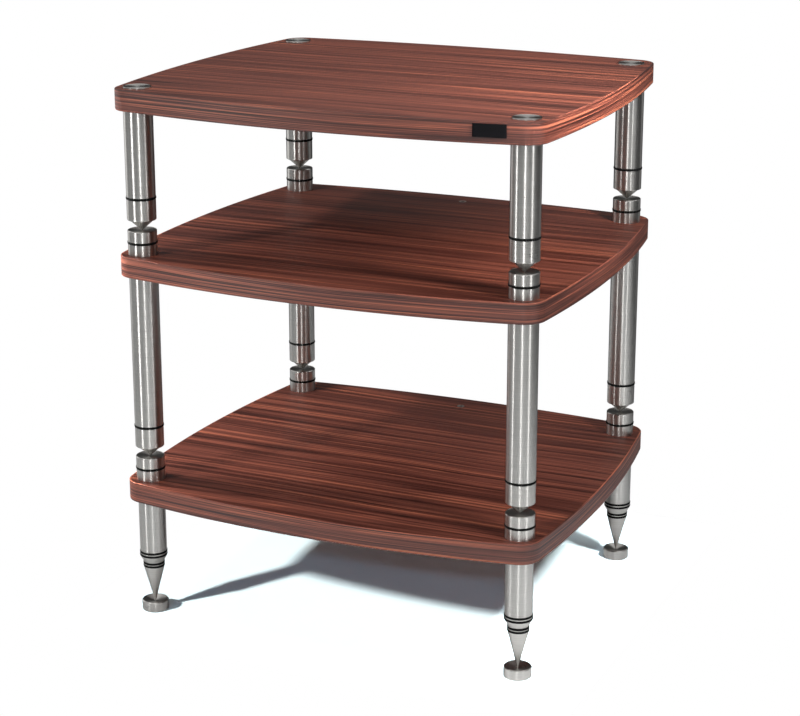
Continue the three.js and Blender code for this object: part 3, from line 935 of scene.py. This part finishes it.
# %% [markdown]
# ## The lights
# A key light stands front left, about 33 degrees up, and draws the shadow of the shelves
# back and to the right. A small softbox high on the right lights the right ends of the
# boards, and one close to the top board falls off quickly from its right end. A low one
# fills the lower boards from the left. A broad one hangs overhead. Light linking keeps
# the high and the low one off the floor, where they would wash out the shadow. Two others
# light only the floor: one from the right, which ends the shadow at the right-hand legs,
# and a weak cool one that reaches under the lowest shelf. A small lamp would show in the
# steel as a hard spot, so all these are hidden from reflections. Three narrow strips round
# the front do the opposite: only reflections show them, as upright white lines on the
# tubes.

# %% Lamp helpers
def sun(name, towards, strength, angle, colour):
    """A sun that stands in the direction given, as seen from the rack."""
    data = bpy.data.lights.new(name, "SUN")
    data.energy = strength
    data.angle = math.radians(angle)
    data.color = colour
    lamp = bpy.data.objects.new(name, data)
    lamp.rotation_euler = Vector(towards).to_track_quat("Z", "Y").to_euler()
    bpy.context.scene.collection.objects.link(lamp)
    return lamp


def softbox(name, place, target, size, power, spread=180, colour=(1, 1, 1)):
    data = bpy.data.lights.new(name, "AREA")
    data.shape = "RECTANGLE"
    data.size, data.size_y = size
    data.energy = power
    data.spread = math.radians(spread)
    data.color = colour
    lamp = bpy.data.objects.new(name, data)
    lamp.location = place
    lamp.rotation_euler = (Vector(place) - Vector(target)).to_track_quat("Z", "Y").to_euler()
    lamp.visible_camera = False
    bpy.context.scene.collection.objects.link(lamp)
    return lamp


# %% Lamps
key = sun("key", towards=(-0.495, -0.869, 0.642), strength=1.7, angle=4, colour=(1.0, 0.985, 0.96))
cool_light = sun("cool_light", towards=(0.26, -0.966, 0.50), strength=0.12, angle=3, colour=(0.48, 0.72, 1.0))
side_key = softbox("side_key", (1.09, -0.51, 1.70), target=(0.1, 0, 0.4), size=(0.2, 0.2), power=13)
floor_side = softbox("floor_side", (1.31, -0.37, 1.52), target=(0.3, 0, 0), size=(0.2, 0.2), power=22)
side_box = softbox("side_box", (0.80, -0.30, 1.10), target=(0.30, -0.05, 0.86), size=(0.2, 0.2), power=1.9,
                   spread=60, colour=(1.0, 0.96, 0.90))
left_box = softbox("left_box", (-0.75, -0.25, 0.64), target=(-0.1, 0, 0.30), size=(0.2, 0.12), power=4.2,
                   spread=120)
overhead = softbox("overhead", (0.0, 0.1, 3.2), target=(0, 0, 0.4), size=(2.4, 2.4), power=17)
for lamp in (key, cool_light, side_key, floor_side, side_box, left_box, overhead):
    lamp.visible_glossy = False

for group, state, lamps in (
    ("not_on_floor", "EXCLUDE", (left_box, side_key)),
    ("only_on_floor", "INCLUDE", (cool_light, floor_side)),
):
    lit = bpy.data.collections.new(group)
    lit.objects.link(floor)
    lit.collection_objects[0].light_linking.link_state = state
    for lamp in lamps:
        lamp.light_linking.receiver_collection = lit
    print(group, [lamp.name for lamp in lamps])


# %% Strips
def strip(name, x, y, width, top, glow):
    """An upright strip from the floor up to that height, facing the rack, for reflections only. Its
    power follows from its glow and its area."""
    power = glow * math.pi * width * top
    lamp = softbox(name, (x, y, top / 2), target=(0, 0, top / 2), size=(width, top), power=power)
    lamp.visible_diffuse = False


strip("left_strip", x=-0.70, y=-1.075, width=0.10, top=1.2, glow=6.2)
strip("front_strip", x=0.78, y=-2.15, width=0.15, top=1.5, glow=7.0)
strip("right_strip", x=1.05, y=-0.50, width=0.07, top=1.2, glow=3.0)
print(len(bpy.data.lights), "lamps")

# %% [markdown]
# ## What the steel reflects
# Bare steel looks like whatever stands around it. A ring of panels round the rack gives
# its tubes their pale and dark stripes: white boxes with grey between them, and black
# flags behind. Only reflections see the ring, so it hides nothing. A ramp's colours end
# at one, so its levels are divided by the glow that multiplies them.

# %% Reflection ring
PANEL_RADIUS, PANEL_HEIGHT, PANEL_STEPS = 2.6, 2.4, 72
PANEL_GLOW = 2.0
# heading round the rack in degrees, 0 in front and 90 on the right, and how bright
PANEL_STOPS = (
    (-180, 0.04), (-126, 0.04), (-114, 0.40), (-106, 1.20), (-90, 1.20), (-80, 0.24),
    (-60, 0.30), (-40, 0.20), (-6, 0.17), (6, 0.25), (14, 0.60), (24, 0.75),
    (33, 0.38), (42, 0.22), (58, 0.21), (66, 0.48), (76, 0.48), (84, 0.14),
    (96, 0.05), (128, 0.05), (138, 0.30), (148, 0.30), (158, 0.05), (180, 0.04),
)
ring_material = bpy.data.materials.new("panel_ring")
ring_material.use_nodes = True
tree = ring_material.node_tree
tree.nodes.remove(tree.nodes["Principled BSDF"])
split = tree.nodes.new("ShaderNodeSeparateXYZ")
tree.links.new(read_place(tree, "Object"), split.inputs["Vector"])
turn = calculate(tree, "ARCTAN2", split.outputs["X"], calculate(tree, "MULTIPLY", split.outputs["Y"], -1))
turn = calculate(tree, "ADD", calculate(tree, "DIVIDE", turn, math.tau), 0.5)
panels = ramp(tree, turn, tuple((degrees / 360 + 0.5, level / PANEL_GLOW) for degrees, level in PANEL_STOPS))
glow = tree.nodes.new("ShaderNodeEmission")
glow.inputs["Strength"].default_value = PANEL_GLOW
tree.links.new(panels, glow.inputs["Color"])
tree.links.new(glow.outputs["Emission"], tree.nodes["Material Output"].inputs["Surface"])

bm = bmesh.new()
bmesh.ops.create_circle(bm, cap_ends=False, radius=PANEL_RADIUS, segments=PANEL_STEPS)
grown = bmesh.ops.extrude_edge_only(bm, edges=list(bm.edges))["geom"]
bmesh.ops.translate(bm, verts=new_points(grown), vec=(0, 0, PANEL_HEIGHT))
panel_ring = stage_mesh("panel_ring", bm, ring_material)
panel_ring.visible_camera = False
panel_ring.visible_diffuse = False
panel_ring.visible_transmission = False
panel_ring.visible_volume_scatter = False
panel_ring.visible_shadow = False
print("ring of", len(PANEL_STOPS), "levels")

# %% [markdown]
# ## The room
# The camera sees plain white behind the rack. The steel and the lacquer see a pale
# ceiling above the ring, which gives flat faces their light haze. A very weak cool fill
# is all that comes from the room itself, so the lamps above still draw the shadows.

# %% World
AMBIENT = 0.022
AMBIENT_COLOUR = (0.66, 0.88, 1.0)
CEILING = 0.85
world = bpy.data.worlds.new("studio")
world.use_nodes = True
tree = world.node_tree
seen = tree.nodes.new("ShaderNodeLightPath")
fill = tree.nodes.new("ShaderNodeBackground")
fill.inputs["Color"].default_value = (*AMBIENT_COLOUR, 1)
fill.inputs["Strength"].default_value = AMBIENT
ceiling = tree.nodes.new("ShaderNodeBackground")
ceiling.inputs["Strength"].default_value = CEILING
backdrop = tree.nodes["Background"]
for node in (ceiling, backdrop):
    node.inputs["Color"].default_value = (1, 1, 1, 1)
shown = fill.outputs["Background"]
for ray, background in (("Is Glossy Ray", ceiling), ("Is Camera Ray", backdrop)):
    shown = mix(tree, seen.outputs[ray], shown, background.outputs["Background"])
tree.links.new(shown, tree.nodes["World Output"].inputs["Surface"])
bpy.context.scene.world = world
bpy.context.scene.view_settings.view_transform = "Standard"
print("room fill", AMBIENT, "ceiling", CEILING)
